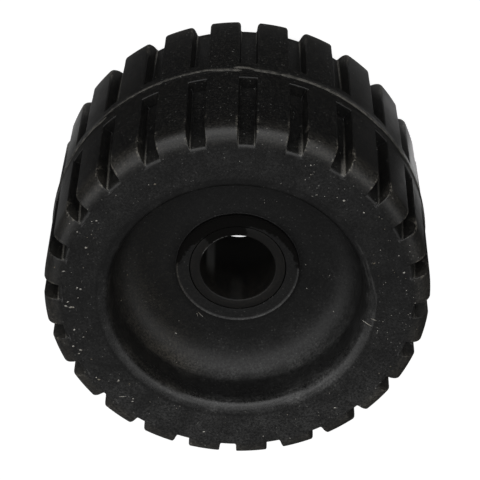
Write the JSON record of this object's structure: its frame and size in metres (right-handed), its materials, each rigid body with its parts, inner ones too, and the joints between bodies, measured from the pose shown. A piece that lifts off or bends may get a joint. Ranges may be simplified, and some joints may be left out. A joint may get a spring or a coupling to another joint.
{
  "type": "boat trailer roller",
  "caption": "Black ribbed rubber roller with deep dished ends, a short central hub and a plastic bush that turns on a shaft, to carry a boat hull on a trailer.",
  "frame": {"origin": "on the roller's axis, at the bottom end face that it stands on", "axes": "+Z along the bore axis, upwards out of the top end; +X through the middle of a tread lug"},
  "size_m": [0.1142, 0.1142, 0.0746],
  "materials": {
    "rubber": "moulded, matt to satin",
    "bush_plastic": "moulded, satin"
  },
  "bodies": {
    "root": {"rubber_roller": "rubber", "hub_bush": "bush_plastic"}
  },
  "joints": []
}
